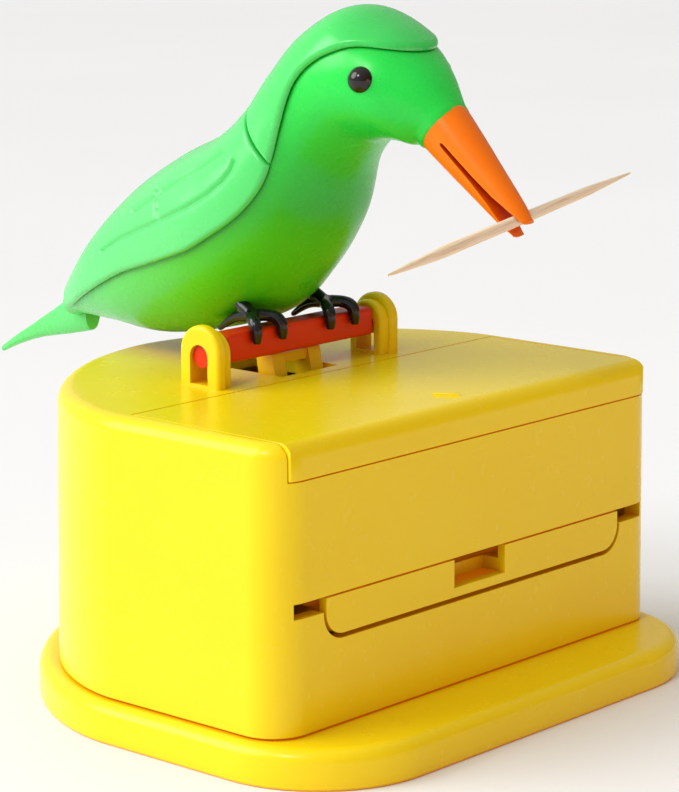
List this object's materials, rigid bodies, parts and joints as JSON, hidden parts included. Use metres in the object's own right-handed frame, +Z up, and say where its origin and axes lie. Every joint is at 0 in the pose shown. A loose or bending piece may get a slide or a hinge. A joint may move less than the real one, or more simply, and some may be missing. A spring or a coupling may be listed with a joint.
{
  "type": "toothpick dispenser",
  "caption": "Bird on a turning perch over a toothpick box; the bird bows and the front tray slides out to its forked beak.",
  "frame": {"origin": "centre of the base plate's underside", "axes": "+X along the toothpick slot towards the bird's left side as it faces the front, -Y towards the front, +Z up"},
  "size_m": [0.079, 0.0998, 0.0882],
  "materials": {
    "yellow": "glossy moulded yellow plastic",
    "green": "glossy moulded green plastic",
    "pale_green": "glossy slightly clear green plastic",
    "orange": "glossy moulded orange plastic",
    "red_orange": "glossy moulded red-orange plastic",
    "black": "glossy black plastic",
    "steel": "bare steel wire, pins and screws",
    "birch": "plain birch, turned"
  },
  "bodies": {
    "base": {"base_plate": "yellow", "base_screw_1": "steel", "base_screw_2": "steel", "base_screw_3": "steel", "base_screw_4": "steel", "bracket_screw_left": "steel", "bracket_screw_right": "steel", "housing": "yellow", "lid": "yellow", "magazine": "yellow", "return_spring": "steel", "rocker_bracket": "yellow", "rocker_pin": "steel", "tray_guide_left": "yellow", "tray_guide_right": "yellow"},
    "bird": {"bird_body": "pale_green", "head_cap": "green", "wing_shell": "green", "beak": "orange", "eye_left": "black", "eye_right": "black", "foot_left": "black", "foot_right": "black", "perch_bar": "red_orange", "perch_arm": "yellow"},
    "rocker": {"rocker_lever": "yellow"},
    "tray": {"dispensing_tray": "yellow"},
    "held_toothpick": {"toothpick": "birch"}
  },
  "joints": [
    {"name": "bird_bow", "type": "hinge", "parent": "base", "child": "bird", "pos_m": [0, 0.0046, 0.0444], "axis": [1, 0, 0], "range_deg": [0, 60], "stiffness_Nm_per_rad": 0.006, "springref_deg": -28.65},
    {"name": "rocker_turn", "type": "hinge", "parent": "base", "child": "rocker", "pos_m": [0, 0.01348, 0.02537], "axis": [1, 0, 0], "range_deg": [-44.5, 0]},
    {"name": "tray_slide", "type": "slide", "parent": "base", "child": "tray", "axis": [0, -1, 0], "range_m": [0, 0.0061]},
    {"name": "toothpick_turn", "type": "hinge", "parent": "bird", "child": "held_toothpick", "pos_m": [0, -0.03245, 0.0633], "axis": [0, 0.3011, -0.9536], "range_deg": [0, 12.6]}
  ],
  "couplings": [
    {"joint": "rocker_turn", "follows": "bird_bow", "ratio": -0.73525},
    {"joint": "tray_slide", "follows": "bird_bow", "m_per_rad": 0.0057296},
    {"joint": "toothpick_turn", "follows": "bird_bow", "ratio": 0.2065}
  ]
}
